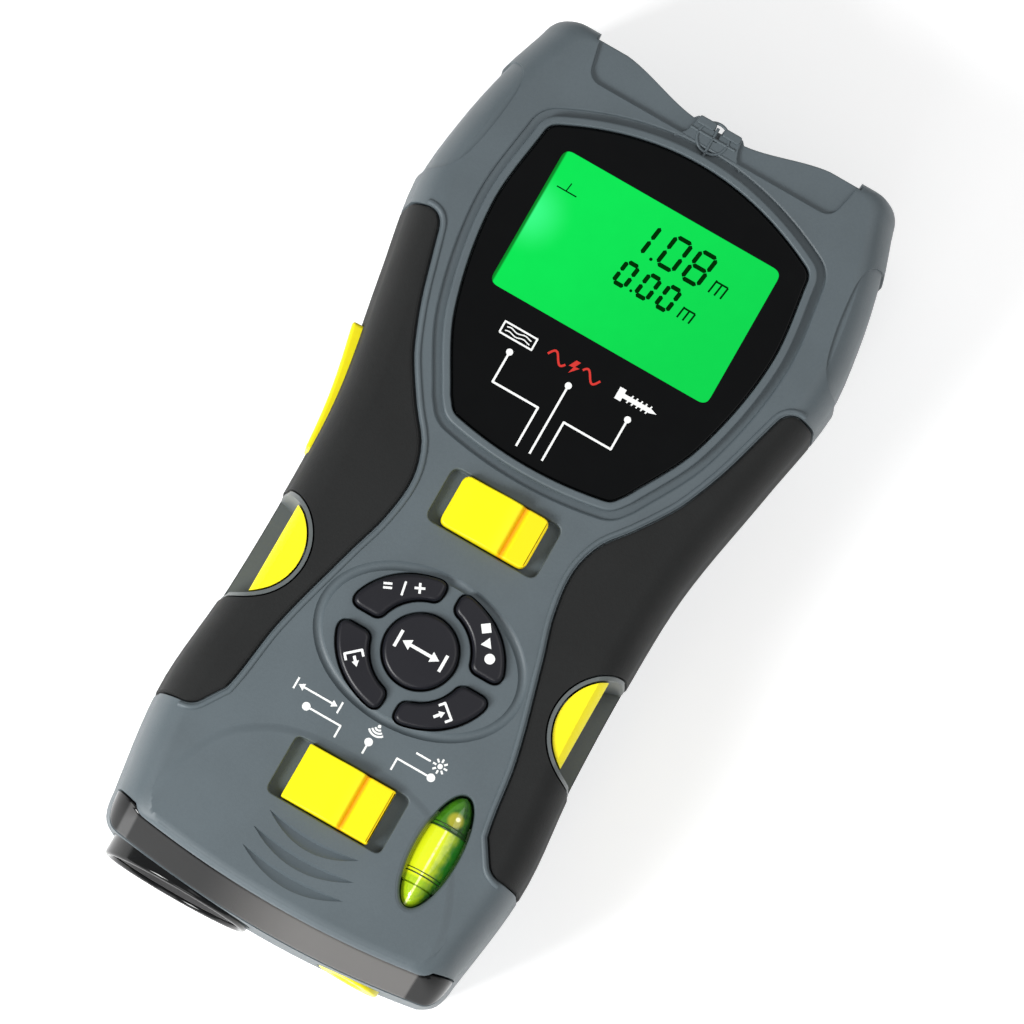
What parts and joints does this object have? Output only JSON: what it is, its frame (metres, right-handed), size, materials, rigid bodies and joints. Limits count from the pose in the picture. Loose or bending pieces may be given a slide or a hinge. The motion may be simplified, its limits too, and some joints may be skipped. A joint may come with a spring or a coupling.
{
  "type": "laser distance meter",
  "caption": "Hand-held distance meter with ultrasonic barrel, laser aperture, stud detector head, green display, keypad, sliders and bubble vial.",
  "frame": {"origin": "middle of the overall footprint, on the flat back the meter rests on", "axes": "+X across the body (right when the head is up), +Y towards the detector head, +Z out of the display face"},
  "size_m": [0.082, 0.161, 0.0436],
  "materials": {
    "shell_grey": "moulded blue-grey plastic with a fine satin texture",
    "inner_grey": "plain moulded plastic",
    "grip_rubber": "soft black rubber, matte",
    "black_gloss": "polished smoked black plastic",
    "window_panel": "smoked window with printed icons",
    "black_matte": "matte black plastic",
    "key_black": "satin blue-black key caps with white symbols",
    "yellow": "bright yellow plastic, semi-gloss",
    "display": "green backlit liquid crystal cell",
    "white_plastic": "white plastic",
    "vial_green": "clear yellow-green acrylic and spirit",
    "bubble": "air bubble",
    "pale_rubber": "silicone rubber",
    "board_green": "green solder mask",
    "steel": "plated steel",
    "sensor_can": "drawn aluminium can",
    "brass": "turned brass barrel",
    "laser_glass": "dark red-black lens",
    "coil_copper": "enamelled copper winding",
    "battery_case": "plain dark battery jacket"
  },
  "bodies": {
    "casing": {"battery": "battery_case", "battery_snap": "black_matte", "board_screw_1": "steel", "board_screw_2": "steel", "buzzer": "black_matte", "case_screw_1": "steel", "case_screw_2": "steel", "case_screw_3": "steel", "case_screw_4": "steel", "controller_chip": "black_matte", "detector_board": "board_green", "detector_coil": "coil_copper", "end_band": "black_gloss", "front_cover": "shell_grey", "key_mat": "pale_rubber", "laser_lens": "laser_glass", "laser_module": "brass", "laser_ring": "yellow", "lcd_backlight": "white_plastic", "lcd_cell": "display", "lcd_connector": "pale_rubber", "lcd_frame": "black_matte", "left_grip": "grip_rubber", "left_pin_cup": "inner_grey", "left_pin_spring": "steel", "lower_switch": "steel", "main_board": "board_green", "rear_cover": "shell_grey", "right_grip": "grip_rubber", "right_pin_cup": "inner_grey", "right_pin_spring": "steel", "trigger_board": "board_green", "trigger_switch": "black_matte", "ultrasonic_barrel": "black_gloss", "ultrasonic_horn": "black_matte", "ultrasonic_transducer": "sensor_can", "upper_switch": "steel", "vial_body": "vial_green", "vial_cradle": "white_plastic", "vial_plug": "vial_green", "window_lens": "window_panel"},
    "key_add": {"key_add": "key_black"},
    "key_mode": {"key_mode": "key_black"},
    "key_recall": {"key_recall": "key_black"},
    "key_store": {"key_store": "key_black"},
    "key_read": {"key_read": "key_black"},
    "lower_slider": {"lower_slider": "yellow"},
    "upper_slider": {"upper_slider": "yellow"},
    "side_trigger": {"side_trigger": "yellow"},
    "left_pin": {"left_pin_button": "yellow", "left_wall_pin": "steel"},
    "right_pin": {"right_pin_button": "yellow", "right_wall_pin": "steel"},
    "vial_bubble": {"vial_bubble": "bubble"},
    "battery_door": {"battery_door": "shell_grey"}
  },
  "joints": [
    {"name": "key_add_press", "type": "slide", "parent": "casing", "child": "key_add", "axis": [0, 0, -1], "range_m": [0, 0.0008], "stiffness_N_per_m": 300, "springref_m": -0.0004},
    {"name": "key_mode_press", "type": "slide", "parent": "casing", "child": "key_mode", "axis": [0, 0, -1], "range_m": [0, 0.0008], "stiffness_N_per_m": 300, "springref_m": -0.0004},
    {"name": "key_recall_press", "type": "slide", "parent": "casing", "child": "key_recall", "axis": [0, 0, -1], "range_m": [0, 0.0008], "stiffness_N_per_m": 300, "springref_m": -0.0004},
    {"name": "key_store_press", "type": "slide", "parent": "casing", "child": "key_store", "axis": [0, 0, -1], "range_m": [0, 0.0008], "stiffness_N_per_m": 300, "springref_m": -0.0004},
    {"name": "key_read_press", "type": "slide", "parent": "casing", "child": "key_read", "axis": [0, 0, -1], "range_m": [0, 0.0008], "stiffness_N_per_m": 300, "springref_m": -0.0004},
    {"name": "lower_slide", "type": "slide", "parent": "casing", "child": "lower_slider", "axis": [1, 0, 0], "range_m": [-0.0023, 0.0023]},
    {"name": "upper_slide", "type": "slide", "parent": "casing", "child": "upper_slider", "axis": [1, 0, 0], "range_m": [-0.002, 0.002]},
    {"name": "trigger_press", "type": "slide", "parent": "casing", "child": "side_trigger", "axis": [1, 0, 0], "range_m": [0, 0.0012], "stiffness_N_per_m": 400, "springref_m": -0.0005},
    {"name": "left_pin_press", "type": "slide", "parent": "casing", "child": "left_pin", "axis": [0, 0, -1], "range_m": [0, 0.0045], "stiffness_N_per_m": 250, "springref_m": -0.001, "deforming": ["left_pin_spring"]},
    {"name": "right_pin_press", "type": "slide", "parent": "casing", "child": "right_pin", "axis": [0, 0, -1], "range_m": [0, 0.0045], "stiffness_N_per_m": 250, "springref_m": -0.001, "deforming": ["right_pin_spring"]},
    {"name": "bubble_float", "type": "slide", "parent": "casing", "child": "vial_bubble", "axis": [0, 1, 0], "range_m": [-0.003, 0.003]},
    {"name": "door_hinge", "type": "hinge", "parent": "casing", "child": "battery_door", "pos_m": [0, -0.0418, 0.0011], "axis": [-1, 0, 0], "range_deg": [0, 75]}
  ]
}
